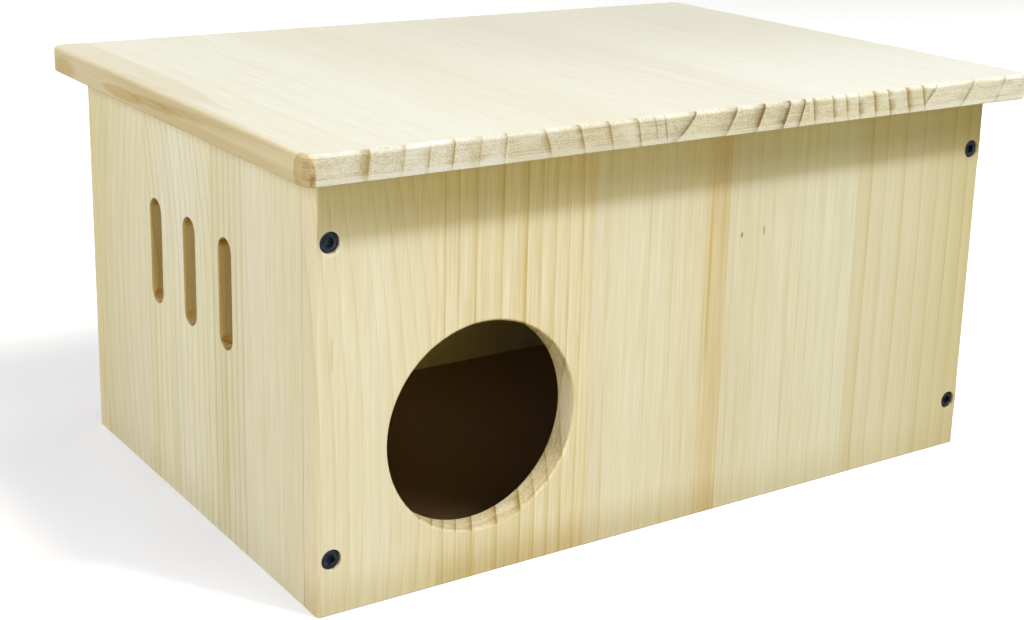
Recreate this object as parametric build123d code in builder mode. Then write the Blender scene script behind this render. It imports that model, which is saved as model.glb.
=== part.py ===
from build123d import *
import os
from itertools import accumulate

# A wooden house for a hamster. Four walls of edge-glued pine staves are screwed into an open-bottomed
# box, and a roof of the same stuff lies loose on top, kept in place by two cleats inside the walls.
# The house stands on the XY plane with its entrance towards -Y; the origin is under the roof's centre.

os.makedirs("parts", exist_ok=True)

# Walls: outside sizes of the box
house_width = 300.0
house_depth = 200.0
wall_height = 150.0
wall_thickness = 10.0
wall_arris_radius = 1.5

# Staves: widths from the -X end of the front, back and roof, of which the last stave takes the rest
front_stave_widths = [44.5, 62.5, 61.5, 64.0]
back_stave_widths = [66.0, 58.0, 63.0, 52.0]
roof_stave_widths = [71.5, 65.0, 64.5, 60.0]

# Staves of the side walls: glue lines before and behind the middle of the wall, where the vents are
side_glue_line_before = 20.0
side_glue_line_behind = 42.0

# Entrance: a round hole through the front wall
entrance_diameter = 75.0
entrance_sill_height = 17.5
entrance_from_side = 63.5
entrance_rim_chamfer = 0.8

# Vents: a row of upright slots with round ends through each side wall
vent_count = 3
vent_length = 40.0
vent_width = 10.0
vent_pitch = 31.0
vent_height = 93.0
vent_rim_chamfer = 0.5

# Roof: the overhangs are measured from the outside of the walls
roof_thickness = 10.0
roof_overhang_front = 14.0
roof_overhang_back = 12.0
roof_overhang_side = 10.0
roof_corner_radius = 5.0
roof_edge_radius = 1.6
roof_underside_chamfer = 0.3

# Cleats: two strips under the roof that drop inside the front and back walls
cleat_width = 12.0
cleat_height = 12.0
cleat_clearance = 1.0
cleat_lead_in = 1.5

# Wall screws: countersunk, with a hexagon socket, through the front and back walls into the side walls
wall_screw_thread = 4.0
wall_screw_head = 7.2
wall_screw_length = 30.0
wall_screw_bevel = 0.8
wall_screw_socket = 3.0
wall_screw_recess = 0.6
wall_screw_heights = [20.0, 128.0]

# Cleat screws: the same kind, smaller, through each cleat into the roof's first, third and fifth stave
cleat_screw_thread = 3.0
cleat_screw_head = 5.8
cleat_screw_length = 18.0
cleat_screw_bevel = 0.5
cleat_screw_socket = 2.0
cleat_screw_recess = 0.5

# Fits of every screw: round its thread, past its thread in a clearance hole, round its head, past its tip
thread_clearance = 0.1
shank_clearance = 0.3
head_clearance = 0.1
tip_clearance = 1.5

# Form of every screw
head_bevel_drop = 0.4
countersink_angle = 90.0
socket_depth_share = 0.8
screw_tip_length = 3.0

# Places that follow from the sizes above
roof_width = house_width + 2 * roof_overhang_side
roof_depth = house_depth + roof_overhang_front + roof_overhang_back
front_y = roof_overhang_front - roof_depth / 2
back_y = front_y + house_depth
inner_front_y = front_y + wall_thickness
inner_back_y = back_y - wall_thickness
middle_y = (front_y + back_y) / 2
side_x = house_width / 2
side_wall_x = side_x - wall_thickness / 2
entrance_x = entrance_from_side - side_x
entrance_z = entrance_sill_height + entrance_diameter / 2
cleat_length = house_width - 2 * wall_thickness - 2 * cleat_clearance
cleat_inset = cleat_clearance + cleat_width / 2
wall_seat_depth = wall_screw_recess + head_bevel_drop
wall_pilot_depth = wall_screw_length + wall_screw_recess - wall_thickness + tip_clearance
cleat_seat_depth = cleat_screw_recess + head_bevel_drop
cleat_pilot_depth = cleat_screw_length + cleat_screw_recess - cleat_height + tip_clearance

# Planes on the outside of the walls, facing out, each with its origin at the foot of its wall
front_face = Plane(origin=(0, front_y, 0), x_dir=(1, 0, 0), z_dir=(0, -1, 0))
back_face = Plane(origin=(0, back_y, 0), x_dir=(-1, 0, 0), z_dir=(0, 1, 0))
left_face = Plane(origin=(-side_x, middle_y, 0), x_dir=(0, -1, 0), z_dir=(-1, 0, 0))

# Planes on the front and back ends of the left wall, facing out, where its pilot bores start
left_front_end = Plane(origin=(-side_wall_x, inner_front_y, 0), x_dir=(1, 0, 0), z_dir=(0, -1, 0))
left_back_end = Plane(origin=(-side_wall_x, inner_back_y, 0), x_dir=(-1, 0, 0), z_dir=(0, 1, 0))

# Planes under the roof, facing down, along the middle line of each cleat
cleat_tops = {
    "front": Plane(origin=(0, inner_front_y + cleat_inset, wall_height), x_dir=(1, 0, 0), z_dir=(0, 0, -1)),
    "back": Plane(origin=(0, inner_back_y - cleat_inset, wall_height), x_dir=(1, 0, 0), z_dir=(0, 0, -1)),
}


def stave_edges(first, last, glue_lines):
    """Both edges of every stave of a panel that runs from first to last."""
    return list(zip([first, *glue_lines], [*glue_lines, last]))


front_staves = stave_edges(-side_x, side_x, [run - side_x for run in accumulate(front_stave_widths)])
back_staves = stave_edges(-side_x, side_x, [run - side_x for run in accumulate(back_stave_widths)])
roof_glue_lines = [run - roof_width / 2 for run in accumulate(roof_stave_widths)]
roof_staves = stave_edges(-roof_width / 2, roof_width / 2, roof_glue_lines)
side_glue_lines = [middle_y - side_glue_line_before, middle_y + side_glue_line_behind]
side_staves = stave_edges(inner_front_y, inner_back_y, side_glue_lines)

# Screws stand over the middle of each side wall, and in the middle of every other roof stave's seat
wall_screw_points = [(x, z) for x in (-side_wall_x, side_wall_x) for z in wall_screw_heights]
cleat_seats = [(max(low, -cleat_length / 2), min(high, cleat_length / 2)) for low, high in roof_staves]
cleat_screw_points = [((low + high) / 2, 0) for low, high in cleat_seats[::2]]


def make_staves(panel, name, staves, across):
    """Each stave of a glued-up panel as a piece of its own, parted along the glue lines."""
    for number, (low, high) in enumerate(staves, 1):
        with BuildPart() as stave:
            add(panel)
            split(bisect_by=Plane(origin=across * low, z_dir=across), keep=Keep.TOP)
            split(bisect_by=Plane(origin=across * high, z_dir=across), keep=Keep.BOTTOM)
        stave.part.label = f"{name}_stave_{number}"
        export_step(stave.part, f"parts/{name}_stave_{number}.step")


def make_screw(thread, head, length, bevel, socket):
    """A countersunk screw with a bevelled head and a hexagon socket: head on the origin, point down -Z."""
    cone_end = head_bevel_drop + (head - thread) / 2
    with BuildPart() as screw:
        with BuildSketch(Plane.XZ):
            with BuildLine():
                Polyline(
                    (0, 0),
                    (head / 2 - bevel, 0),
                    (head / 2, -head_bevel_drop),
                    (thread / 2, -cone_end),
                    (thread / 2, screw_tip_length - length),
                    (0, -length),
                    close=True,
                )
            make_face()
        revolve(axis=Axis.Z)
        with BuildSketch():
            RegularPolygon(socket / 2, 6, major_radius=False)
        extrude(amount=-socket_depth_share * cone_end, mode=Mode.SUBTRACT)
    return screw.part


# Front wall: a panel with the entrance and the seats of four screws
with BuildPart() as front_wall:
    with BuildSketch(front_face):
        Rectangle(house_width, wall_height, align=(Align.CENTER, Align.MIN))
    extrude(amount=-wall_thickness)
    fillet(front_wall.edges().filter_by(Axis.Z).group_by(Axis.Y)[0], wall_arris_radius)
    with BuildSketch(front_face):
        with Locations((entrance_x, entrance_z)):
            Circle(entrance_diameter / 2)
    extrude(amount=-wall_thickness, mode=Mode.SUBTRACT)
    chamfer(front_wall.edges().filter_by(GeomType.CIRCLE).group_by(SortBy.RADIUS)[-1], entrance_rim_chamfer)
    with Locations(front_face.offset(-wall_seat_depth)):
        with Locations(*wall_screw_points):
            CounterSinkHole(
                wall_screw_thread / 2 + shank_clearance,
                wall_screw_head / 2 + head_clearance,
                counter_sink_angle=countersink_angle,
            )

make_staves(front_wall.part, "front", front_staves, Vector(1, 0, 0))

# Back wall: the same panel without the entrance
with BuildPart() as back_wall:
    with BuildSketch(back_face):
        Rectangle(house_width, wall_height, align=(Align.CENTER, Align.MIN))
    extrude(amount=-wall_thickness)
    fillet(back_wall.edges().filter_by(Axis.Z).group_by(Axis.Y)[-1], wall_arris_radius)
    with Locations(back_face.offset(-wall_seat_depth)):
        with Locations(*wall_screw_points):
            CounterSinkHole(
                wall_screw_thread / 2 + shank_clearance,
                wall_screw_head / 2 + head_clearance,
                counter_sink_angle=countersink_angle,
            )

make_staves(back_wall.part, "back", back_staves, Vector(1, 0, 0))

# Left wall: stands between the front and the back, with the vents and a pilot bore for each screw
with BuildPart() as left_wall:
    with BuildSketch(left_face):
        Rectangle(inner_back_y - inner_front_y, wall_height, align=(Align.CENTER, Align.MIN))
    extrude(amount=-wall_thickness)
    with BuildSketch(left_face):
        with Locations((0, vent_height)):
            with GridLocations(vent_pitch, 0, vent_count, 1):
                SlotOverall(vent_length, vent_width, rotation=90)
    extrude(amount=-wall_thickness, mode=Mode.SUBTRACT)
    rims = [wire for side in left_wall.faces().filter_by(Axis.X) for wire in side.inner_wires()]
    chamfer([edge for rim in rims for edge in rim.edges()], vent_rim_chamfer)
    with Locations(left_front_end, left_back_end):
        with Locations(*[(0, z) for z in wall_screw_heights]):
            Hole(wall_screw_thread / 2 + thread_clearance, depth=wall_pilot_depth)

make_staves(left_wall.part, "left", side_staves, Vector(0, 1, 0))

# Right wall: the left one mirrored
with BuildPart() as right_wall:
    mirror(left_wall.part, about=Plane.YZ)

make_staves(right_wall.part, "right", side_staves, Vector(0, 1, 0))

# Roof: a rounded board on top of the walls, with a blind pilot bore for each cleat screw
with BuildPart() as roof:
    with BuildSketch(Plane.XY.offset(wall_height)):
        RectangleRounded(roof_width, roof_depth, roof_corner_radius)
    extrude(amount=roof_thickness)
    fillet(roof.edges().group_by(Axis.Z)[-1], min(roof_edge_radius, roof_thickness / 3))
    chamfer(roof.edges().group_by(Axis.Z)[0], roof_underside_chamfer)
    with Locations(*cleat_tops.values()):
        with Locations(*cleat_screw_points):
            Hole(cleat_screw_thread / 2 + thread_clearance, depth=cleat_pilot_depth)

make_staves(roof.part, "roof", roof_staves, Vector(1, 0, 0))

# Cleats: strips with a chamfered underside, so that the roof finds its place as it is put on
for name, cleat_top in cleat_tops.items():
    with BuildPart() as cleat:
        with BuildSketch(cleat_top):
            Rectangle(cleat_length, cleat_width)
        extrude(amount=cleat_height)
        chamfer(cleat.faces().sort_by(Axis.Z)[0].edges(), cleat_lead_in)
        with Locations(cleat_top.offset(cleat_height - cleat_seat_depth)):
            with Locations(*cleat_screw_points):
                CounterSinkHole(
                    cleat_screw_thread / 2 + shank_clearance,
                    cleat_screw_head / 2 + head_clearance,
                    counter_sink_angle=countersink_angle,
                )
    cleat.part.label = f"{name}_cleat"
    export_step(cleat.part, f"parts/{name}_cleat.step")

# Wall screws: four in the front and four in the back
wall_screw = make_screw(
    wall_screw_thread, wall_screw_head, wall_screw_length, wall_screw_bevel, wall_screw_socket
)

with BuildPart() as front_wall_screws:
    with Locations(front_face.offset(-wall_screw_recess)):
        with Locations(*wall_screw_points):
            add(wall_screw)
front_wall_screws.part.label = "front_wall_screws"
export_step(front_wall_screws.part, "parts/front_wall_screws.step")

with BuildPart() as back_wall_screws:
    with Locations(back_face.offset(-wall_screw_recess)):
        with Locations(*wall_screw_points):
            add(wall_screw)
back_wall_screws.part.label = "back_wall_screws"
export_step(back_wall_screws.part, "parts/back_wall_screws.step")

# Cleat screws: three up through each cleat
cleat_screw = make_screw(
    cleat_screw_thread, cleat_screw_head, cleat_screw_length, cleat_screw_bevel, cleat_screw_socket
)

with BuildPart() as cleat_screws:
    for cleat_top in cleat_tops.values():
        with Locations(cleat_top.offset(cleat_height - cleat_screw_recess)):
            with Locations(*cleat_screw_points):
                add(cleat_screw)
cleat_screws.part.label = "cleat_screws"
export_step(cleat_screws.part, "parts/cleat_screws.step")
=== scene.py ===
import math
import bmesh
import bpy
import numpy as np
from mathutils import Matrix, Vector
from mathutils.geometry import tessellate_polygon


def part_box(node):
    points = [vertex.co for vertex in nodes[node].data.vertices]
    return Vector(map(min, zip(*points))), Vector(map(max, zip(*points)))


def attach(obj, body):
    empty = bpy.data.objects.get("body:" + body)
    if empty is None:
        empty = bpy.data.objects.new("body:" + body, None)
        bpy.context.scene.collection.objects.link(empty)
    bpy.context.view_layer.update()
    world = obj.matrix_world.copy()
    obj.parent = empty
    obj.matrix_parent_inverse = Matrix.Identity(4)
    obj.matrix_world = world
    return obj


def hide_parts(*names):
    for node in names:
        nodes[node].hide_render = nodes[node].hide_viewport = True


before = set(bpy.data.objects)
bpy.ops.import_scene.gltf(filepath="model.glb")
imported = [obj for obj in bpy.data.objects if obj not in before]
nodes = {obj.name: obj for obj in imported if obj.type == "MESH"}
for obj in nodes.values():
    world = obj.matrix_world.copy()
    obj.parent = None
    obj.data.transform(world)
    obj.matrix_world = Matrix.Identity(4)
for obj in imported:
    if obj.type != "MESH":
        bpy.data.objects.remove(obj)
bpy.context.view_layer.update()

# A wooden hamster house, put together as a joiner would: the studio first, then the front wall with its
# entrance, the other walls, the screws, and last the loose roof with its cleats. All sizes are in metres.
scene = bpy.context.scene


# Camera: on the left in front of the house, a little above the roof and 0.7 m from the house's middle. The
# focal length and the middle of the picture are in pixels of a 1024 x 620 frame.
frame_width = 1024
frame_height = 620
focal_length = 1705.7
picture_middle = (530.8, 218.7)
camera_place = (-0.38183, -0.55565, 0.27392)
camera_turn = (75.046, -1.493, -33.967)

camera = bpy.data.objects.new("Camera", bpy.data.cameras.new("Camera"))
camera.location = camera_place
camera.rotation_euler = [math.radians(angle) for angle in camera_turn]
camera.data.sensor_width = 36.0
camera.data.lens = camera.data.sensor_width * focal_length / frame_width
camera.data.shift_x = (frame_width / 2 - picture_middle[0]) / frame_width
camera.data.shift_y = (picture_middle[1] - frame_height / 2) / frame_width
camera.data.clip_start = 0.01
camera.data.clip_end = 50
scene.collection.objects.link(camera)
scene.camera = camera
scene.view_settings.view_transform = "Standard"


# Studio: white surroundings. A small lamp and a soft one in front, above the right shoulder of the house,
# throw its shadow to the back left, and soft boxes above and on the four sides fill it in.
room_light = 0.10
key_direction = (0.233, -0.524, 0.812)
key_distance = 1.8
key_white = (0.825, 0.915, 1.0)
soft_white = (1.0, 0.955, 0.86)
cool_white = (0.82, 0.89, 1.0)
back_white = (1.0, 0.92, 0.80)
warm_fill = (1.0, 0.79, 0.14)
house_middle = Vector((0.0, 0.0005, 0.08))


def feed(tree, socket, value):
    """Gives an input socket its value, or links it where the value is another node's output."""
    if isinstance(value, bpy.types.NodeSocket):
        tree.links.new(value, socket)
    else:
        socket.default_value = value


def add_node(tree, kind, inputs=(), **settings):
    """A shader node with its settings made and its inputs fed, by name or by number."""
    made = tree.nodes.new(kind if kind.startswith("Node") else "ShaderNode" + kind)
    for name, value in settings.items():
        setattr(made, name, value)
    for name, value in dict(inputs).items():
        feed(tree, made.inputs[name], value)
    return made


def calc(tree, operation, *terms, clamp=False):
    """One step of arithmetic on numbers and outputs."""
    return add_node(tree, "Math", enumerate(terms), operation=operation, use_clamp=clamp).outputs[0]


def blend(tree, share, first, second, kind="RGBA"):
    """The first value where the share is 0, the second where it is 1: colours, or numbers as FLOAT."""
    slots = {"RGBA": (6, 7, 2), "FLOAT": (2, 3, 0)}[kind]
    made = add_node(tree, "Mix", {0: share, slots[0]: first, slots[1]: second}, data_type=kind)
    return made.outputs[slots[2]]


def remap(tree, value, low, high, smooth=True):
    """0 up to low, 1 from high on, and between them a smooth or a straight rise."""
    made = add_node(tree, "MapRange", {"Value": value, "From Min": low, "From Max": high})
    made.interpolation_type = "SMOOTHSTEP" if smooth else "LINEAR"
    return made.outputs[0]


def add_lamp(name, place, size, power, colour=(1.0, 1.0, 1.0)):
    """A square soft lamp, of a size in metres and a power in watts, that looks at the middle of the house."""
    lamp = bpy.data.objects.new(name, bpy.data.lights.new(name, "AREA"))
    lamp.data.size = size
    lamp.data.energy = power
    lamp.data.color = colour
    lamp.location = place
    lamp.rotation_euler = (house_middle - Vector(place)).to_track_quat("-Z", "Y").to_euler()
    scene.collection.objects.link(lamp)


key_place = house_middle + Vector(key_direction).normalized() * key_distance
add_lamp("Key lamp", key_place, 0.18, 20.2, key_white)
add_lamp("Soft key", key_place, 0.9, 12.3, soft_white)
add_lamp("Top softbox", (0.1, -0.25, 1.6), 1.2, 3.9, cool_white)
add_lamp("Front softbox", (-0.6, -1.6, 0.45), 0.8, 3.9, warm_fill)
add_lamp("Left softbox", (-1.6, -0.3, 0.7), 1.2, 20.0)
add_lamp("Back softbox", (0.15, 1.9, 0.25), 0.4, 14.0, back_white)
add_lamp("Right softbox", (1.9, 0.15, 0.25), 0.4, 12.0, back_white)

world = bpy.data.worlds.new("Studio")
world.use_nodes = True
scene.world = world
tree = world.node_tree
tree.nodes.clear()
rays = add_node(tree, "LightPath").outputs
shown = calc(tree, "MAXIMUM", rays["Is Camera Ray"], rays["Is Glossy Ray"])
shown = calc(tree, "MAXIMUM", shown, rays["Is Transmission Ray"])
level = blend(tree, shown, room_light, 1.0, "FLOAT")
background = add_node(tree, "Background", {"Color": (1, 1, 1, 1), "Strength": level})
add_node(tree, "OutputWorld", {"Surface": background.outputs[0]})


# Floor: a wide white sheet with a little glow of its own. Beside the left wall, where the house's shadow
# falls, a painted shadow dims the glow and tints it blue. Only the camera sees it white: the wood gets warm
# light back from it. The house has no floor board, and the ground inside its walls is painted dark brown,
# a painted shade for the dark inside of the house.
floor_reach = 4.0
floor_white = 0.76
floor_glow = 0.46
floor_bounce = (0.34, 0.305, 0.16, 1.0)
chamber_shade_floor = (0.36, 0.235, 0.125, 1.0)
chamber_middle_y = 0.001
chamber_reach = (0.145, 0.095)
shadow_tint = (0.54, 0.575, 0.74, 1.0)
shadow_share = (0.54, 0.42)
shadow_deepens = (0.140, 0.060)
shadow_edges = (("X", -0.080, -0.105), ("X", -0.222, -0.195), ("Y", 0.228, 0.188), ("Y", -0.300, 0.020))

floor_mesh = bpy.data.meshes.new("Floor")
corners = np.array([(-1, -1, 0), (1, -1, 0), (1, 1, 0), (-1, 1, 0)]) * floor_reach
floor_mesh.from_pydata(corners.tolist(), [], [(0, 1, 2, 3)])
floor = bpy.data.objects.new("Floor", floor_mesh)
scene.collection.objects.link(floor)

white_floor = bpy.data.materials.new("White floor")
white_floor.use_nodes = True
tree = white_floor.node_tree
paint = tree.nodes["Principled BSDF"]
paint.inputs["Roughness"].default_value = 0.9
paint.inputs["Specular IOR Level"].default_value = 0.0
place = add_node(tree, "SeparateXYZ", {0: add_node(tree, "TexCoord").outputs["Object"]}).outputs
beside = calc(tree, "GREATER_THAN", calc(tree, "ABSOLUTE", place["X"]), chamber_reach[0])
from_middle = calc(tree, "ABSOLUTE", calc(tree, "SUBTRACT", place["Y"], chamber_middle_y))
behind = calc(tree, "GREATER_THAN", from_middle, chamber_reach[1])
outside = calc(tree, "MAXIMUM", beside, behind)
shown = calc(tree, "MULTIPLY", add_node(tree, "LightPath").outputs["Is Camera Ray"], outside)
# Inside the walls the ground is dark brown for every ray: painted shade for the dark inside of the house
unseen = blend(tree, outside, chamber_shade_floor, floor_bounce)
feed(tree, paint.inputs["Base Color"], blend(tree, shown, unseen, (*[floor_white] * 3, 1)))
# Painted shadow: beside the left wall, where the house's shadow falls, the glow is dimmed and tinted blue
shade = calc(tree, "MULTIPLY_ADD", remap(tree, place["Y"], *shadow_deepens), shadow_share[1], shadow_share[0])
for axis, none, full in shadow_edges:
    shade = calc(tree, "MULTIPLY", shade, remap(tree, place[axis], none, full))
feed(tree, paint.inputs["Emission Color"], blend(tree, shade, (1, 1, 1, 1), shadow_tint))
feed(tree, paint.inputs["Emission Strength"], calc(tree, "MULTIPLY", shown, floor_glow))
floor_mesh.materials.append(white_floor)


# Front wall: five upright staves of pine, glued edge to edge and planed as one board 10 mm thick. The
# entrance is cut across the first two, and the end staves are countersunk for the wall screws.
entrance_diameter = 0.075
entrance_sill = 0.0175
entrance_from_side = 0.0635
entrance_rounding = 0.0009
front_corner_rounding = 0.0011
sawn_edge_rounding = 0.0003

screw_heights = (0.020, 0.128)
screw_inset = 0.005
seat_radius = 0.00365
seat_depth = 0.0010
shank_hole_radius = 0.0023
seat_rim_rounding = 0.00008
flat_rim = 0.0001
bent_from = 0.3
smooth_up_to = 30


def arc(centre, radius, start, end, steps):
    """Points on a circle from one angle to another, both ends included."""
    angle = np.linspace(start, end, steps + 1)
    return np.stack([centre[0] + radius * np.cos(angle), centre[1] + radius * np.sin(angle)], 1)


def hole(centre, radius, steps=48):
    """A round hole's outline, clockwise."""
    return arc(centre, radius, 0, -2 * np.pi, steps)[:-1]


def corner_moves(outline, amounts):
    """How the corners of an outline move when each side moves in by its own amount.

    The move of a corner, measured along the normals of the two sides that meet there, is the amount of
    each. Where the two sides run on in one line, or the sine of their turn is small, it is their mean along
    that line's normal.
    """
    side = np.roll(outline, -1, 0) - outline
    after = np.stack([-side[:, 1], side[:, 0]], 1) / np.linalg.norm(side, axis=1)[:, None]
    before = np.roll(after, 1, 0)
    far = np.broadcast_to(amounts, len(outline)).astype(float)
    near = np.roll(far, 1)
    turn = before[:, 0] * after[:, 1] - before[:, 1] * after[:, 0]
    bent = np.abs(turn) > bent_from
    cornered = np.stack([near * after[:, 1] - far * before[:, 1], far * before[:, 0] - near * after[:, 0]], 1)
    lined = (near + far)[:, None] / 2 * (before + after) / (1 + (before * after).sum(1))[:, None]
    return np.where(bent[:, None], cornered / np.where(bent, turn, 1.0)[:, None], lined)


def rounded_side(thickness, face_arris, back_arris, steps=6):
    """Rows down the side of a board: share of the face's arris, share of the back's, extra move, depth.

    Each arris is a quarter circle: its inset is the radius less its sine, its depth the radius less its
    cosine. The first and last row lie on the flats, a little further in, and keep the flats' shading flat.
    """
    angle = np.linspace(0, np.pi / 2, steps + 1)
    inset, drop, none = 1 - np.sin(angle), 1 - np.cos(angle), np.zeros(steps + 1)
    down = np.stack([inset, none, none, face_arris * drop], 1)
    up = np.stack([none, inset, none, thickness - back_arris * drop], 1)[::-1]
    return np.concatenate([[(1, 0, flat_rim, 0)], down, up, [(0, 1, flat_rim, thickness)]])


def screw_seat(thickness):
    """Rows down a countersunk hole: a broken rim, a short recess, the cone, and the clearance hole."""
    cone = seat_radius - shank_hole_radius
    rows = [(flat_rim + seat_rim_rounding, 0), (seat_rim_rounding, 0), (0, seat_rim_rounding),
            (0, seat_depth), (-cone, seat_depth + cone), (-cone, thickness), (flat_rim - cone, thickness)]
    return np.array([(0, 0, move, depth) for move, depth in rows])


def board(name, edges, face_y):
    """An upright board: each edge's rows are carried round its outline, and the two flats are filled in.

    A point is a corner of the outline, moved in by its row's shares of the two arrises and its extra
    move, at the row's depth behind the face. The first edge is the outside, counter-clockwise, and the
    others are holes.
    """
    points, faces, face_rims, back_rims = [], [], [], []
    count = 0
    for outline, face_radii, back_radii, rows in edges:
        moves = np.stack([corner_moves(outline, amounts) for amounts in (face_radii, back_radii, 1.0)])
        flat = outline + np.einsum("rm,mpc->rpc", rows[:, :3], moves)
        depth = np.broadcast_to(rows[:, 3, None, None], flat.shape[:2] + (1,))
        points.append(np.concatenate([flat, depth], 2).reshape(-1, 3))
        grid = count + np.arange(flat.shape[0] * flat.shape[1]).reshape(flat.shape[:2])
        turned = np.roll(grid, -1, 1)
        faces += np.stack([grid[:-1], turned[:-1], turned[1:], grid[1:]], -1).reshape(-1, 4).tolist()
        face_rims.append(grid[0])
        back_rims.append(grid[-1])
        count += grid.size
    points = np.concatenate(points)
    for rims in (face_rims, back_rims):
        order = np.concatenate(rims)
        loops = [[Vector((*points[index, :2], 0)) for index in rim] for rim in rims]
        faces += [order[list(face)].tolist() for face in tessellate_polygon(loops)]
    across, height, depth = points.T
    return finished_piece(name, np.stack([across, face_y + depth, height], 1), faces)


def finished_piece(name, points, faces):
    """A piece from its points and faces, turned outwards, and smooth where faces meet at a small angle."""
    mesh = bpy.data.meshes.new(name)
    mesh.from_pydata(points.tolist(), [], faces)
    shape = bmesh.new()
    shape.from_mesh(mesh)
    bmesh.ops.recalc_face_normals(shape, faces=shape.faces)
    shape.to_mesh(mesh)
    shape.free()
    mesh.shade_smooth()
    mesh.set_sharp_from_angle(angle=math.radians(smooth_up_to))
    made = bpy.data.objects.new(name, mesh)
    scene.collection.objects.link(made)
    return made


low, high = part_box("front_stave_1")
front_y = low.y
side_x = -low.x
wall_height = high.z
wall_thickness = high.y - low.y
entrance_x = entrance_from_side - side_x
entrance_z = entrance_sill + entrance_diameter / 2
front_staves = [f"front_stave_{number}" for number in range(1, 6)]
front_cuts = [-side_x, *[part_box(stave)[1].x for stave in front_staves[:-1]], side_x]

# The first glue line meets the entrance twice, and the stave on each side of it has its own part of the
# circle, which comes before a corner of the stave's outline
entrance_middle = (entrance_x, entrance_z)
entrance_radius = entrance_diameter / 2
meets = math.acos((front_cuts[1] - entrance_x) / entrance_radius)
notches = {
    "front_stave_1": (2, arc(entrance_middle, entrance_radius, -meets, meets - 2 * np.pi, 64)),
    "front_stave_2": (4, arc(entrance_middle, entrance_radius, meets, -meets, 96)),
}

# Beside a seat the rounding of the corner is tighter, so that the seat stays within the flat of the face:
# heights over the screw, and the shares of the rounding there
tight = np.array([(0.0080, 0.85), (0.0060, 0.65), (0.0044, 0.45), (0.0, 0.45), (-0.0044, 0.45),
                  (-0.0060, 0.65), (-0.0080, 0.85), (-0.0085, 1.0)])
rise = (np.array(screw_heights)[:, None] + tight[::-1, 0]).ravel()
easing = np.tile(tight[::-1, 1], len(screw_heights))

# An outline goes along the bottom, up the right side, back along the top and down the left side
front_boards = {}
for stave, left, right in zip(front_staves, front_cuts, front_cuts[1:]):
    outline = np.array([(left, 0), (right, 0), (right, wall_height), (left, wall_height)])
    radii = np.array([sawn_edge_rounding, 0, sawn_edge_rounding, 0])
    if left == -side_x:
        radii[3] = front_corner_rounding
        outline = np.insert(outline, 4, np.stack([np.full(len(rise), left), rise[::-1]], 1), 0)
        radii = np.insert(radii, 4, front_corner_rounding * easing[::-1])
    if right == side_x:
        radii[1] = front_corner_rounding
        outline = np.insert(outline, 2, np.stack([np.full(len(rise), right), rise], 1), 0)
        radii = np.insert(radii, 2, front_corner_rounding * easing)
    if stave in notches:
        corner, notch = notches[stave]
        outline = np.insert(outline, corner, notch, 0)
        radii = np.insert(radii, corner, [entrance_rounding] * (len(notch) - 1) + [0])
    back_radii = np.where(radii > 0, sawn_edge_rounding, 0)
    edges = [(outline, radii, back_radii, rounded_side(wall_thickness, radii.max(), sawn_edge_rounding))]
    for screw_x in (screw_inset - side_x, side_x - screw_inset):
        if left < screw_x < right:
            edges += [(hole((screw_x, height), seat_radius), 0, 0, screw_seat(wall_thickness))
                      for height in screw_heights]
    piece = board(f"{stave}_board", edges, front_y)
    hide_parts(stave)
    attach(piece, "house")
    front_boards[stave] = piece


def add_socket(tree, name, side="INPUT", kind="Float"):
    """A named input or output of a node group."""
    tree.interface.new_socket(name, in_out=side, socket_type="NodeSocket" + kind)


def noise(tree, place, stretch, seed, detail=2.0):
    """Noise from -1 to 1 whose lumps are as large as stretch says, in mm across, through and along."""
    lumps = add_node(tree, "VectorMath", {0: place, 1: [1 / size for size in stretch]}, operation="MULTIPLY")
    inputs = {"Vector": lumps.outputs[0], "W": seed, "Scale": 1.0, "Detail": detail}
    made = add_node(tree, "TexNoise", inputs, noise_dimensions="4D")
    return calc(tree, "MULTIPLY_ADD", made.outputs[0], 2.0, -1.0)


# Growth rings: how far a point is from the heart of its tree, in mm. Its fibres, which lean across the board,
# bow with the square of the height over a start, and wander, are followed back to mid-length. The heart runs
# alongside the board, and may lean through it.
growth_rings = bpy.data.node_groups.new("Growth rings", "ShaderNodeTree")
tree = growth_rings
add_socket(tree, "Place", kind="Vector")
for name in ("Heart across", "Heart depth", "Heart lean", "Lean", "Bow", "Bow from", "Wander", "Seed"):
    add_socket(tree, name)
add_socket(tree, "Distance", side="OUTPUT")
given = add_node(tree, "NodeGroupInput").outputs
place = add_node(tree, "SeparateXYZ", {0: given["Place"]}).outputs
quick_share = 0.22
slow = noise(tree, given["Place"], (60, 60, 75), given["Seed"], 1.0)
quick = noise(tree, given["Place"], (12, 30, 34), given["Seed"], 1.0)
stray = calc(tree, "MULTIPLY", given["Wander"], calc(tree, "MULTIPLY_ADD", quick, quick_share, slow))
across = calc(tree, "SUBTRACT", place["X"], calc(tree, "MULTIPLY", place["Z"], given["Lean"]))
above = calc(tree, "MAXIMUM", calc(tree, "SUBTRACT", place["Z"], given["Bow from"]), 0.0)
midway = calc(tree, "MAXIMUM", calc(tree, "SUBTRACT", 0.0, given["Bow from"]), 0.0)
bow = calc(tree, "SUBTRACT", calc(tree, "MULTIPLY", above, above), calc(tree, "MULTIPLY", midway, midway))
across = calc(tree, "SUBTRACT", across, calc(tree, "MULTIPLY", bow, given["Bow"]))
across = calc(tree, "SUBTRACT", calc(tree, "ADD", across, stray), given["Heart across"])
through = calc(tree, "SUBTRACT", place["Y"], calc(tree, "MULTIPLY", place["Z"], given["Heart lean"]))
through = calc(tree, "SUBTRACT", through, given["Heart depth"])
square = calc(tree, "MULTIPLY_ADD", through, through, calc(tree, "MULTIPLY", across, across))
add_node(tree, "NodeGroupOutput", {"Distance": calc(tree, "SQRT", square)})

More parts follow.
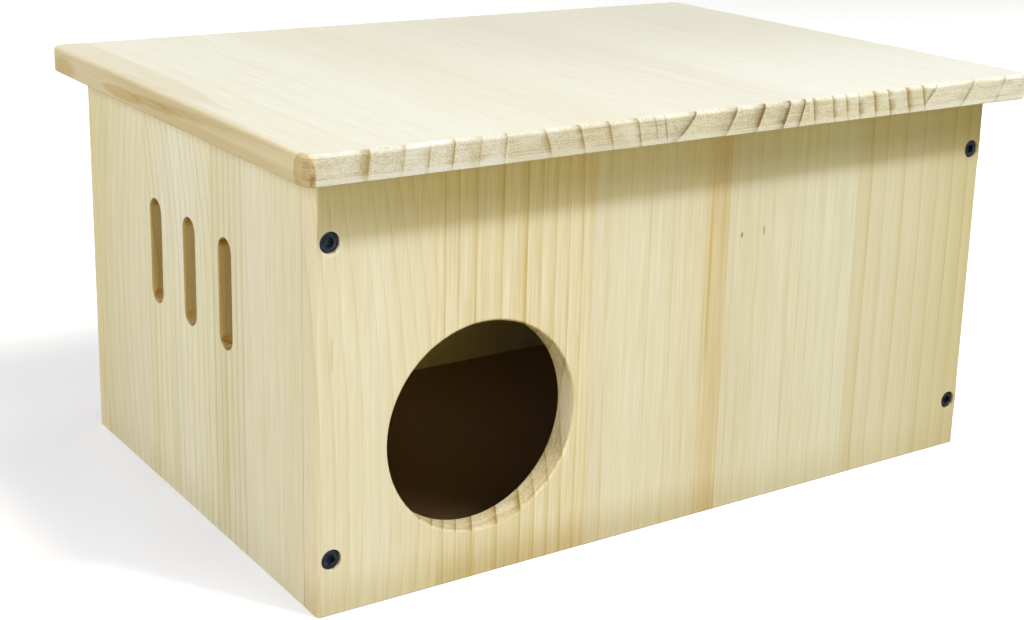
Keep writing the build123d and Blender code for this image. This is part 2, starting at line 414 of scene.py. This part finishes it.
# Pine figure: late wood darkens slowly over each ring and ends sharply. Fibres streak along the grain and
# show as pores on end grain, a slow drift makes some streaks warmer, and the saw leaves fine lines and chalky
# dust.
pine_figure = bpy.data.node_groups.new("Pine figure", "ShaderNodeTree")
tree = pine_figure
add_socket(tree, "Place", kind="Vector")
for name in ("Rings", "Weight", "Sharpness", "Seed"):
    add_socket(tree, name)
for name in ("Late wood", "Fibre", "Drift", "Pores", "Saw lines", "Chalk"):
    add_socket(tree, name, side="OUTPUT")
given = add_node(tree, "NodeGroupInput").outputs
ring_ends = 0.96
slow_share = 0.55
last_sharper = 5.0
usual_weight = 0.95
fading_share = 0.6
pore_edge = (-0.05, 0.35)
chalk_edge = (-0.05, 0.45)
part = calc(tree, "FRACT", given["Rings"])
ripe = remap(tree, part, 0.0, ring_ends, smooth=False)
rise = calc(tree, "MULTIPLY", calc(tree, "POWER", ripe, given["Sharpness"]), slow_share)
last = calc(tree, "POWER", ripe, calc(tree, "MULTIPLY", given["Sharpness"], last_sharper))
rise = calc(tree, "MULTIPLY_ADD", last, 1 - slow_share, rise)
fall = calc(tree, "SUBTRACT", 1.0, remap(tree, part, ring_ends, 1.0))
fading = noise(tree, given["Place"], (5, 8, 60), given["Seed"], 1.0)
fading = calc(tree, "MULTIPLY_ADD", fading, fading_share, usual_weight)
weight = calc(tree, "MULTIPLY", given["Weight"], fading)
late = calc(tree, "MULTIPLY", calc(tree, "MULTIPLY", rise, fall), weight, clamp=True)
coarse = noise(tree, given["Place"], (1.5, 1.5, 55), given["Seed"], 3.0)
fine = noise(tree, given["Place"], (0.7, 0.7, 22), given["Seed"], 1.0)
fibre = calc(tree, "MULTIPLY_ADD", fine, 2.0, coarse)
drift = noise(tree, given["Place"], (8, 12, 150), given["Seed"], 2.0)
pores = remap(tree, noise(tree, given["Place"], (0.42, 0.38, 6), given["Seed"], 0.0), *pore_edge)
lines = noise(tree, given["Place"], (18, 0.45, 18), given["Seed"], 1.0)
chalk = remap(tree, noise(tree, given["Place"], (9, 4, 30), given["Seed"], 2.0), *chalk_edge)
add_node(tree, "NodeGroupOutput", {"Late wood": late, "Fibre": fibre, "Drift": drift, "Pores": pores,
                                   "Saw lines": lines, "Chalk": chalk})


def srgb(red, green, blue):
    """A colour from the 0 to 255 values of a swatch."""
    parts = np.array([red, green, blue]) / 255
    linear = np.where(parts < 0.04045, parts / 12.92, ((parts + 0.055) / 1.055) ** 2.4)
    return (*linear.tolist(), 1.0)


def scaled(tree, colour, factor):
    """A colour times another one, part by part."""
    return add_node(tree, "VectorMath", {0: colour, 1: factor}, operation="MULTIPLY").outputs[0]


def vector_curve(tree, value, points):
    """A number read from straight lines between points, for values from 0 to 1."""
    made = add_node(tree, "FloatCurve", {"Value": value})
    curve = made.mapping.curves[0]
    curve.points[0].location, curve.points[1].location = points[0], points[-1]
    for point in points[1:-1]:
        curve.points.new(*point)
    for point in curve.points:
        point.handle_type = "VECTOR"
    made.mapping.update()
    return made.outputs[0]


spare_rings = 4
least_weight = 0.6
weight_range = 0.45


def ring_count(tree, distance, heart, places, weights, seed):
    """Counts rings by the distance from the heart: one more at each place on the wood's own X axis.

    A curve holds the distances of the places from the heart, and goes on evenly for some spare rings on
    both sides of them. The second output is how strong a ring's late wood is: given ring by ring, as halves
    because a curve ends at 1, or else left to chance.
    """
    ends = np.hypot(np.array(places, float) - heart[0], heart[1])
    order = np.argsort(ends)
    ends = ends[order]
    pace = (ends[-1] - ends[0]) / (len(ends) - 1)
    spare = np.arange(1, spare_rings + 1)
    ends = np.concatenate([(ends[0] - spare * pace)[::-1], ends, ends[-1] + spare * pace])
    last = len(ends) - 1
    steps = [(end, index / last) for index, end in enumerate((ends - ends[0]) / (ends[-1] - ends[0]))]
    where = calc(tree, "DIVIDE", calc(tree, "SUBTRACT", distance, ends[0]), ends[-1] - ends[0])
    count = calc(tree, "MULTIPLY", vector_curve(tree, where, steps), float(last))
    whole = calc(tree, "FLOOR", count)
    if weights is None:
        chance = add_node(tree, "TexWhiteNoise", {"W": calc(tree, "ADD", whole, seed)}, noise_dimensions="1D")
        return count, calc(tree, "MULTIPLY_ADD", chance.outputs[0], weight_range, least_weight)
    given_weights = np.array(weights)[order]
    halves = np.concatenate([np.zeros(spare_rings - 1), given_weights, np.zeros(spare_rings)]) / 2
    steps = [(index / (last - 1), half) for index, half in enumerate(halves)]
    half = vector_curve(tree, calc(tree, "DIVIDE", whole, float(last - 1)), steps)
    return count, calc(tree, "MULTIPLY", half, 2.0)


# Where the heart is unless a stave says otherwise, in mm: across from the stave's start, and through from the
# wood's X axis
usual_heart = (-150, 4)

# What the parts of the figure multiply the wood's colour by, and how strong they are
drift_share = 0.6
streak_spread = (-0.07, -0.10, -0.19)
# The bottom's tint is painted shade, darker and yellower towards the ground
foot_shade_tint = (0.78, 0.72, 0.56)
pore_tint = (0.64, 0.56, 0.40)
pore_strength = 0.55
saw_tint = (0.80, 0.76, 0.66)
saw_strength = (1.6, 0.15)
# Chalk's tint and strength also paint the highlight along the lower edge of the end grain
chalk_and_sheen_tint = (1.07, 1.10, 1.22)
chalk_and_sheen_strength = 0.6
ragged_edge = 0.10

# Where the painted shade at the bottom fades in, in mm over the ground, and the painted highlight on the
# lower edge of the end grain, in mm under the board's middle
foot_shade_fade = (18, 1)
dusty_depth = (2.2, 3.6)

# Parts of its normal where a surface starts to be, and wholly is, a side, end grain, or a broken rim between
# two faces
side_turn = (0.15, 0.60)
end_turn = (0.12, 0.45)
rim_turn = ((0.30, 0.55), (0.92, 0.80))

# Relief in shares of the bump, which is in metres, and how rough and glossy planed pine is
fibre_relief = 0.5
line_relief = 0.8
bump_strength = 0.4
bump_depth = 0.00012
fibre_roughness = 0.05
roughness = 0.60
gloss = 0.35


def pine(name, start, end, rings, tones, turn=(0, 0, 0), middle=(0, 0, 0), heart=None, heart_lean=0.0,
         lean=0.0, bow=0.0, bow_from=-75.0, wander=1.5, contrast=0.5, sharpness=3.0, streaks=1.0, seed=0.0,
         weights=None, late_tint=(0.87, 0.815, 0.60), end_tint=(0.90, 0.86, 0.72),
         end_late=(0.55, 0.44, 0.20), end_band=(0.0, 0.65), side_tint=(1, 1, 1), rim_tint=None,
         dusty=0.0, foot_shade=0.0, marks=()):
    """A stave's finish: the places in mm on its wood's X axis where rings end, and tones across its width.

    The wood's axes run across, through and along the grain; turn and middle bring the house's axes to them.
    The roof's X axis runs in the middle of the board. The walls' and the cleats' lie beside the board, so
    their rings cross the face nearer to the heart than their places say. Tones are at shares of the width
    from start to end. Weights are how strong the rings' late wood is, one by one. Late wood multiplies the
    tones by its tint, as the stave's sides, its broken rims and its end grain do by theirs. On end grain it
    fades in over the end band. The lower-edge setting is how much a painted highlight pales the lowest
    strip of the end grain with chalk's tint. The bottom's setting is how far a painted shade darkens the
    bottom towards the ground. A mark is a spot of other colour, a stain or a patch of painted light or
    shade: centre and radii in mm, what it multiplies the colour by, how far, and how soft its edge is.
    """
    made = bpy.data.materials.new(name)
    made.use_nodes = True
    tree = made.node_tree
    bsdf = tree.nodes["Principled BSDF"]
    turned = {"Rotation": [math.radians(angle) for angle in turn]}
    object_place = add_node(tree, "TexCoord").outputs
    place = add_node(tree, "Mapping", {"Vector": object_place["Object"], "Scale": (1000, 1000, 1000),
                                       "Location": middle, **turned}).outputs[0]
    if heart is None:
        heart = (start + usual_heart[0], usual_heart[1])
    path = add_node(tree, "Group", node_tree=growth_rings)
    for socket, value in {"Place": place, "Heart across": heart[0], "Heart depth": heart[1], "Lean": lean,
                          "Heart lean": heart_lean, "Bow": bow, "Bow from": bow_from, "Wander": wander,
                          "Seed": seed}.items():
        feed(tree, path.inputs[socket], value)
    count, weight = ring_count(tree, path.outputs[0], heart, rings, weights, seed)
    figure = add_node(tree, "Group", node_tree=pine_figure)
    for socket, value in {"Place": place, "Rings": count, "Weight": weight, "Sharpness": sharpness,
                          "Seed": seed}.items():
        feed(tree, figure.inputs[socket], value)
    late, fibre, drift, pores, lines, chalk = (figure.outputs[index] for index in range(6))

    axes = add_node(tree, "SeparateXYZ", {0: place}).outputs
    share = calc(tree, "DIVIDE", calc(tree, "SUBTRACT", axes["X"], start), end - start)
    ramp = add_node(tree, "ValToRGB", {"Fac": share})
    stops = ramp.color_ramp.elements
    while len(stops) < len(tones):
        stops.new(0.5)
    for stop, (where, colour) in zip(stops, tones):
        stop.position = where
        stop.color = srgb(*colour)
    warmth = calc(tree, "MULTIPLY", calc(tree, "MULTIPLY_ADD", drift, drift_share, fibre), streaks)
    spread = add_node(tree, "CombineXYZ", {0: warmth, 1: warmth, 2: warmth}).outputs[0]
    spread = add_node(tree, "VectorMath", {0: spread, 1: streak_spread, 2: (1, 1, 1)},
                      operation="MULTIPLY_ADD").outputs[0]
    even = scaled(tree, ramp.outputs[0], spread)
    # Painted shade: the bottom of the stave darkens and yellows towards the ground
    if foot_shade:
        shade_fade = remap(tree, axes["Z"], middle[2] + foot_shade_fade[0], middle[2] + foot_shade_fade[1])
        low = calc(tree, "MULTIPLY", shade_fade, foot_shade)
        even = blend(tree, low, even, scaled(tree, even, foot_shade_tint))

    facing = add_node(tree, "Mapping", {"Vector": object_place["Normal"], **turned}, vector_type="VECTOR")
    facing = add_node(tree, "SeparateXYZ", {0: facing.outputs[0]}).outputs
    sideways = remap(tree, calc(tree, "ABSOLUTE", facing["X"]), *side_turn)
    endways = remap(tree, calc(tree, "ABSOLUTE", facing["Z"]), *end_turn)
    even = blend(tree, sideways, even, scaled(tree, even, side_tint))
    long_grain = blend(tree, calc(tree, "MULTIPLY", late, contrast), even, scaled(tree, even, late_tint))
    even_end = scaled(tree, even, end_tint)
    # Painted highlight: the lowest strip of the end grain is paled with chalk's tint along its lower edge
    if dusty:
        dust = calc(tree, "MULTIPLY", remap(tree, axes["Y"], *dusty_depth), dusty)
        chalk = calc(tree, "MAXIMUM", chalk, dust)
    fresh = calc(tree, "SUBTRACT", 1.0, calc(tree, "MULTIPLY", chalk, chalk_and_sheen_strength))
    ends = blend(tree, calc(tree, "MULTIPLY", calc(tree, "MULTIPLY", pores, fresh), pore_strength), even_end,
                 scaled(tree, even_end, pore_tint))
    sawn = calc(tree, "MULTIPLY_ADD", lines, *saw_strength, clamp=True)
    ends = blend(tree, sawn, ends, scaled(tree, ends, saw_tint))
    chalk_and_sheen_colour = scaled(tree, even_end, chalk_and_sheen_tint)
    ends = blend(tree, calc(tree, "MULTIPLY", chalk, chalk_and_sheen_strength), ends, chalk_and_sheen_colour)
    burnt = remap(tree, calc(tree, "MULTIPLY", late, fresh), *end_band, smooth=False)
    ends = blend(tree, burnt, ends, scaled(tree, ends, end_late))
    colour = blend(tree, endways, long_grain, ends)
    if rim_tint:
        flat = calc(tree, "ABSOLUTE", facing["Y"])
        rim = calc(tree, "MULTIPLY", remap(tree, flat, *rim_turn[0]), remap(tree, flat, *rim_turn[1]))
        colour = blend(tree, rim, colour, scaled(tree, colour, rim_tint))
    for centre, radii, tint, strength, edge in marks:
        offset = add_node(tree, "VectorMath", {0: object_place["Object"], 1: (1000, 1000, 1000)},
                          operation="MULTIPLY").outputs[0]
        offset = add_node(tree, "VectorMath", {0: offset, 1: centre}, operation="SUBTRACT").outputs[0]
        offset = add_node(tree, "VectorMath", {0: offset, 1: radii}, operation="DIVIDE").outputs[0]
        reach = add_node(tree, "VectorMath", {0: offset}, operation="LENGTH").outputs["Value"]
        reach = calc(tree, "MULTIPLY_ADD", calc(tree, "SUBTRACT", pores, 0.5), ragged_edge, reach)
        inside = calc(tree, "MULTIPLY", remap(tree, reach, 1.0 + edge / 2, 1.0 - edge / 2), strength)
        colour = blend(tree, inside, colour, scaled(tree, colour, tint))
    feed(tree, bsdf.inputs["Base Color"], colour)

    relief = calc(tree, "MULTIPLY_ADD", fibre, fibre_relief, calc(tree, "MULTIPLY", late, contrast))
    rough_ends = calc(tree, "MULTIPLY", endways, calc(tree, "MULTIPLY_ADD", lines, line_relief, pores))
    relief = calc(tree, "SUBTRACT", relief, rough_ends)
    bump = add_node(tree, "Bump", {"Height": relief, "Strength": bump_strength, "Distance": bump_depth})
    tree.links.new(bump.outputs[0], bsdf.inputs["Normal"])
    feed(tree, bsdf.inputs["Roughness"], calc(tree, "MULTIPLY_ADD", fibre, fibre_roughness, roughness))
    bsdf.inputs["Specular IOR Level"].default_value = gloss
    return made


def dress(name, finish):
    """Puts a finish on a CAD node in place of what it came with."""
    mesh = nodes[name].data
    mesh.materials.clear()
    mesh.materials.append(finish)


# Half the walls' height, where the wood's own height is 0
wall_middle = (0, 0, -75)
front_figures = {
    "front_stave_1": dict(
        rings=[-147, -143, -138.5, -133.2, -128.4, -123.6, -118.6, -112.4, -108.4], contrast=0.65,
        late_tint=(0.85, 0.82, 0.66), side_tint=(0.96, 0.94, 0.88), streaks=0.6, lean=0.10, bow=-0.001,
        wander=2.0, heart=(-330, -20), foot_shade=0.6, seed=3.1,
        tones=[(0.0, (237, 227, 208)), (0.5, (239, 231, 214)), (1.0, (238, 226, 199))],
        # The first mark is a painted highlight: a pale, bluish ring on the rim of the upper screw's seat,
        # where it catches the light
        marks=[((-144.9, -99, 127.5), (4.1, 2, 4.3), (1.10, 1.14, 1.24), 0.8, 0.15),
               ((-144.6, -99, 91), (0.5, 1.5, 6), (0.82, 0.75, 0.60), 0.7, 0.8)]),
    "front_stave_2": dict(
        rings=[-104.6, -99, -94.6, -89, -85.2, -82.4, -79.4, -74.8, -71, -66.6, -61, -52, -43.6],
        late_tint=(0.79, 0.71, 0.42), contrast=1.2, streaks=1.1, wander=0.8, foot_shade=1.0, seed=7.7,
        tones=[(0.0, (239, 227, 204)), (0.5, (237, 225, 198)), (1.0, (237, 224, 197))]),
    "front_stave_3": dict(
        rings=[-35.5, -28.5, -21.5, -12.5, -5, 2.6, 10.6, 12.9], late_tint=(0.87, 0.84, 0.66), contrast=0.62,
        streaks=0.7, wander=0.8, sharpness=3.5, foot_shade=0.75, seed=11.3,
        tones=[(0.0, (233, 223, 203)), (0.2, (235, 227, 208)), (0.55, (233, 225, 206)),
               (0.80, (231, 220, 196)), (0.88, (223, 206, 171)), (1.0, (221, 204, 169))],
        marks=[((10.2, -99, 95), (0.8, 2, 34), (0.90, 0.80, 0.52), 0.9, 0.9)]),
    "front_stave_4": dict(
        rings=[21.3, 24.9, 28.1, 31.4, 35.8, 42.5, 46.3, 49.5, 53.4, 58, 63, 69, 77.4], contrast=0.55,
        late_tint=(0.87, 0.855, 0.71), streaks=0.6, wander=0.8, foot_shade=0.45, seed=5.2,
        tones=[(0.0, (226, 217, 196)), (0.4, (229, 223, 204)), (1.0, (230, 225, 208))],
        marks=[((24.9, -99, 107.9), (0.6, 1, 1.1), (0.40, 0.33, 0.20), 0.8, 0.8),
               ((35.7, -99, 108.4), (0.5, 1, 1.8), (0.55, 0.48, 0.30), 0.7, 0.8)]),
    "front_stave_5": dict(
        rings=[84.8, 89.5, 96.8, 105.4, 111.4, 120.8, 127.4, 136.3, 145], contrast=0.95, streaks=0.5,
        wander=1.2, sharpness=2.2, foot_shade=0.25, seed=9.4,
        tones=[(0.0, (225, 215, 191)), (0.35, (226, 218, 196)), (1.0, (216, 204, 168))]),
}
for (stave, piece), left, right in zip(front_boards.items(), front_cuts, front_cuts[1:]):
    finish = pine(f"{stave}_pine", left * 1000, right * 1000, middle=wall_middle, **front_figures[stave])
    piece.data.materials.append(finish)
    dress(stave, finish)


# Left wall: three staves of pale pine with the three ventilation slots, screwed between the front and the
# back wall. The planed face shows close upright rings near the front and a leaning, wider figure at the back.
left_figures = {
    "left_stave_1": dict(
        rings=[-86, -82, -78, -74.2, -70.3, -66.2, -62.2, -58.2, -54, -50.2, -46.4, -42.5, -38, -34.5, -30,
               -27, -24.5],
        weights=[1.2, 1.2, 1.1, 1.2, 1.0, 1.0, 0.8, 0.9, 0.7, 0.8, 0.6, 0.7, 0.4, 0.3, 0.3, 0.7, 0.5],
        late_tint=(0.85, 0.83, 0.71), contrast=1.5, sharpness=2.4, streaks=0.7, wander=1.2, heart=(190, 5),
        foot_shade=0.12, seed=21.5,
        tones=[(0.0, (226, 219, 193)), (0.5, (231, 225, 205)), (1.0, (227, 220, 194))],
        marks=[((-150, -28, 45), (3, 2.0, 40), (0.95, 0.91, 0.82), 0.9, 0.9)]),
    "left_stave_2": dict(
        rings=[-17, -13, -8.5, -4.5, -1, 3.6, 8.5, 13, 18, 22, 25.6, 30, 33.6, 38, 41], contrast=1.25,
        late_tint=(0.83, 0.82, 0.69), streaks=0.8, wander=1.5, bow=0.0024, bow_from=5, heart=(-190, 5),
        foot_shade=0.3, seed=14.9,
        tones=[(0.0, (234, 228, 203)), (0.5, (238, 233, 213)), (1.0, (234, 227, 198))],
        marks=[((-150, 18, 40), (3, 2.2, 40), (0.96, 0.935, 0.86), 0.9, 0.9),
               ((-150, 36, 30), (3, 3.2, 34), (0.965, 0.945, 0.88), 0.9, 0.9),
               ((-150, 16, 122), (3, 28, 30), (0.99, 1.0, 1.06), 1.0, 1.5)]),
    "left_stave_3": dict(
        rings=[46, 50, 54.5, 58.5, 62.5, 67, 71, 75.5, 80, 85, 90], late_tint=(0.87, 0.86, 0.74),
        contrast=0.85, streaks=0.6, lean=0.1965, bow=-0.00153, wander=1.8, heart=(190, 24), foot_shade=0.2,
        seed=17.2,
        tones=[(0.0, (234, 228, 206)), (0.5, (232, 226, 200)), (1.0, (228, 220, 186))]),
}
side_grain = dict(turn=(0, 0, -90), middle=wall_middle, side_tint=(0.92, 0.76, 0.49),
                  end_tint=(0.90, 0.78, 0.55), rim_tint=(0.60, 0.54, 0.40))


def dress_in_pine(figures, across, **grain):
    """Puts pine on CAD nodes, each in its own figure. The figures are given along X or Y, as 0 or 1."""
    for name, figure in figures.items():
        low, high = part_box(name)
        finish = pine(f"{name}_pine", low[across] * 1000, high[across] * 1000, **{**grain, **figure})
        dress(name, finish)


dress_in_pine(left_figures, 1, **side_grain)


# Right wall: three upright staves with the same three slots, screwed in like the left wall's. Their figure is
# plainer.
right_figures = {
    "right_stave_1": dict(rings=[-83, -75, -69, -64, -58, -53, -45, -36, -28], seed=31.4, contrast=0.5,
                          tones=[(0.0, (228, 216, 178)), (1.0, (231, 221, 186))]),
    "right_stave_2": dict(rings=[-15, -8, -2, 3, 7, 12, 18, 27, 36], seed=34.8, contrast=0.6,
                          heart=(70, 30), heart_lean=0.12, wander=2.5,
                          tones=[(0.0, (232, 222, 186)), (1.0, (229, 217, 179))]),
    "right_stave_3": dict(rings=[47, 54, 59, 67, 74, 81, 90], seed=38.1, contrast=0.45,
                          tones=[(0.0, (226, 214, 174)), (1.0, (230, 220, 185))]),
}
dress_in_pine(right_figures, 1, **side_grain)


# Back wall: five upright staves of plain pine, glued edge to edge. The end staves are countersunk for the
# wall screws, like the front wall's.
back_figures = {
    "back_stave_1": dict(rings=[-146, -138, -131, -125, -119, -110, -101, -92], seed=41.3, contrast=0.55,
                         tones=[(0.0, (231, 219, 183)), (1.0, (228, 216, 178))]),
    "back_stave_2": dict(rings=[-80, -74, -70, -65, -61, -56, -50, -43, -34], seed=44.6, contrast=0.8,
                         tones=[(0.0, (228, 214, 172)), (1.0, (232, 221, 185))]),
    "back_stave_3": dict(rings=[-20, -11, -4, 3, 8, 12, 18, 27, 34], seed=47.9, wander=3.0,
                         heart=(6, 38), heart_lean=0.14,
                         tones=[(0.0, (233, 224, 190)), (1.0, (231, 220, 184))]),
    "back_stave_4": dict(rings=[40, 45, 51, 56, 60, 66, 73, 81, 87], seed=51.2, contrast=0.5,
                         tones=[(0.0, (226, 213, 173)), (1.0, (229, 219, 184))]),
    "back_stave_5": dict(rings=[95, 104, 111, 117, 123, 130, 138, 146], seed=54.5, contrast=0.65,
                         tones=[(0.0, (230, 220, 185)), (1.0, (225, 211, 170))]),
}
dress_in_pine(back_figures, 0, middle=wall_middle)


# Roof: five staves that run front to back, glued side by side, with a soft top edge all round. Their sawn
# ends show the rings and pores, and the planed top is the palest wood of all. It lies loose on the walls.
# Painted light on the roof's top: a darker patch towards the back and a paler, bluer one at the front right,
# as the light falls off from front to back
painted_top_light = [((90, 60, 160), (120, 75, 20), (0.92, 0.915, 0.89), 1.0, 1.8),
               ((140, -100, 165), (85, 75, 14), (1.04, 1.06, 1.10), 1.0, 1.8)]
roof_figures = {
    "roof_stave_1": dict(
        rings=[-162, -138.3, -126.2, -117.3, -108.4, -98.4, -88.9],
        weights=[0, 0.9, 0.8, 0.9, 1.0, 0.5, 1.0], heart=(-330, -26), seed=61.7,
        end_band=(0.08, 0.95), end_tint=(1.11, 1.12, 1.25), side_tint=(1.05, 0.98, 0.86), contrast=0.3,
        tones=[(0.0, (214, 207, 185)), (0.3, (217, 212, 194)), (1.0, (218, 213, 196))],
        # The first four marks colour the rounded near-left corner: the first browns it, partly its end grain
        # and partly painted shade where it turns from the light, the next two temper it, and the fourth is a
        # painted shadow at its lower right
        marks=[((-159.5, -108.9, 154.4), (4.6, 4.6, 5.8), (0.72, 0.60, 0.40), 1.0, 0.12),
               ((-159.8, -108.6, 154.6), (4.5, 4.5, 5.6), (1.12, 1.21, 1.50), 1.0, 0.14),
               ((-158.9, -110.9, 154.5), (1.7, 1.7, 5.5), (0.87, 0.86, 0.82), 1.0, 0.9),
               ((-157.5, -112.3, 151.6), (0.9, 0.9, 2.4), (0.60, 0.48, 0.30), 0.9, 0.9),
               ((-140.2, -113, 155.5), (1.9, 2, 5.5), (0.84, 0.75, 0.56), 0.8, 0.7),
               ((-100.8, -113, 155.5), (2.8, 2, 5.5), (0.90, 0.85, 0.74), 0.8, 0.8),
               ((-160, 36, 153.4), (3, 18.5, 2.1), (0.86, 0.78, 0.62), 1.0, 0.4),
               ((-160, 6, 154.6), (3, 22, 1.6), (0.84, 0.76, 0.60), 1.0, 0.8),
               ((-160, -14, 155.8), (3, 21, 1.3), (0.85, 0.77, 0.61), 0.6, 0.8),
               ((-160, -34, 157.0), (3, 20, 1.1), (0.86, 0.78, 0.63), 0.4, 0.9),
               ((-160, -50, 157.9), (3, 14, 0.9), (0.88, 0.81, 0.68), 0.3, 1.0),
               ((-160, -18, 159.0), (3, 74, 4.2), (0.91, 0.88, 0.83), 1.0, 0.7),
               ((-160, -42, 151.0), (3, 78, 3.0), (0.87, 0.83, 0.72), 1.0, 1.0),
               ((-152.5, 75, 160), (7, 105, 3), (0.92, 0.885, 0.82), 1.0, 0.25),
               ((-160, 98, 153.2), (6, 11, 3.8), (0.86, 0.78, 0.62), 1.0, 0.8)]),
    "roof_stave_2": dict(
        rings=[-91.5, -71.9, -58.5, -46.8, -35.0, -28.0, -23.9],
        weights=[0, 0.55, 0.65, 0.65, 0.9, 0.4, 0.8], heart=(-127, 18), end_band=(0.10, 0.42),
        end_late=(0.62, 0.52, 0.34), end_tint=(1.04, 1.03, 1.06), seed=64.2,
        tones=[(0.0, (217, 211, 193)), (0.6, (215, 207, 186)), (1.0, (216, 212, 194))],
        marks=painted_top_light[:1]),
    "roof_stave_3": dict(
        rings=[-14.3, 5.6, 18.9, 31.0, 38.2], weights=[0.75, 0.65, 1.0, 1.35, 1.05], heart=(-43, -26),
        end_band=(0.02, 0.62), end_late=(0.34, 0.25, 0.11), end_tint=(1.09, 1.09, 1.09), sharpness=3.6,
        seed=67.5,
        tones=[(0.0, (217, 211, 194)), (1.0, (214, 207, 190))],
        marks=painted_top_light[:1]),
    "roof_stave_4": dict(
        rings=[43.1, 52.8, 59.5, 65.5, 73.6, 81.1, 90.8, 99.3],
        weights=[0.8, 0.85, 0.9, 0.85, 0.9, 1.0, 1.0, 0.8], heart=(168, -18), end_band=(0.10, 0.50),
        end_late=(0.58, 0.47, 0.28), end_tint=(1.09, 1.07, 1.02), sharpness=2.6, seed=71.8,
        tones=[(0.0, (215, 208, 192)), (0.3, (217, 212, 196)), (1.0, (215, 209, 193))],
        marks=painted_top_light),
    "roof_stave_5": dict(
        rings=[103.8, 125.2, 143.6], weights=[0.9, 0.65, 0.7], heart=(53, -50), end_band=(0.0, 0.95),
        end_late=(0.40, 0.30, 0.13), end_tint=(1.18, 1.18, 1.21), sharpness=8.0, seed=74.3,
        tones=[(0.0, (214, 208, 191)), (1.0, (211, 205, 188))],
        marks=painted_top_light),
}
# The roof staves get a painted highlight along the lower edge of their end grain
dress_in_pine(roof_figures, 0, turn=(90, 0, 0), middle=(0, 155, 0), contrast=0.22, sharpness=4.0,
              streaks=0.4, wander=0.5, dusty=0.9)


# Cleats: two square battens under the roof that drop inside the walls and keep it from sliding. Their grain
# runs from side to side, across the roof's, and screws from below hold them.
cleat_figures = {
    "front_cleat": dict(rings=[-92, -86, -81, -76], seed=81.2),
    "back_cleat": dict(rings=[78, 83, 87, 93], seed=84.9),
}
dress_in_pine(cleat_figures, 1, turn=(0, -90, -90), tones=[(0.0, (229, 217, 180)), (1.0, (226, 213, 174))])


# Screws: countersunk steel with a hexagon socket, through the front and the back wall into the side walls'
# ends, and up through the cleats into the roof. Their black oxide is thin and spotted and shines blue-grey.
spots_per_metre = 900.0
spot_edge = (0.35, 0.7)
dark_oxide = (0.034, 0.044, 0.082, 1)
thin_oxide = (0.078, 0.102, 0.175, 1)

black_steel = bpy.data.materials.new("Black oxide steel")
black_steel.use_nodes = True
tree = black_steel.node_tree
bsdf = tree.nodes["Principled BSDF"]
bsdf.inputs["Metallic"].default_value = 1.0
place = add_node(tree, "TexCoord").outputs["Object"]
spots = add_node(tree, "TexNoise", {"Vector": place, "Scale": spots_per_metre, "Detail": 3.0}).outputs[0]
oxide = blend(tree, remap(tree, spots, *spot_edge), dark_oxide, thin_oxide)
feed(tree, bsdf.inputs["Base Color"], oxide)
feed(tree, bsdf.inputs["Roughness"], calc(tree, "MULTIPLY_ADD", spots, 0.3, 0.28))
for name in ("front_wall_screws", "back_wall_screws", "cleat_screws"):
    dress(name, black_steel)
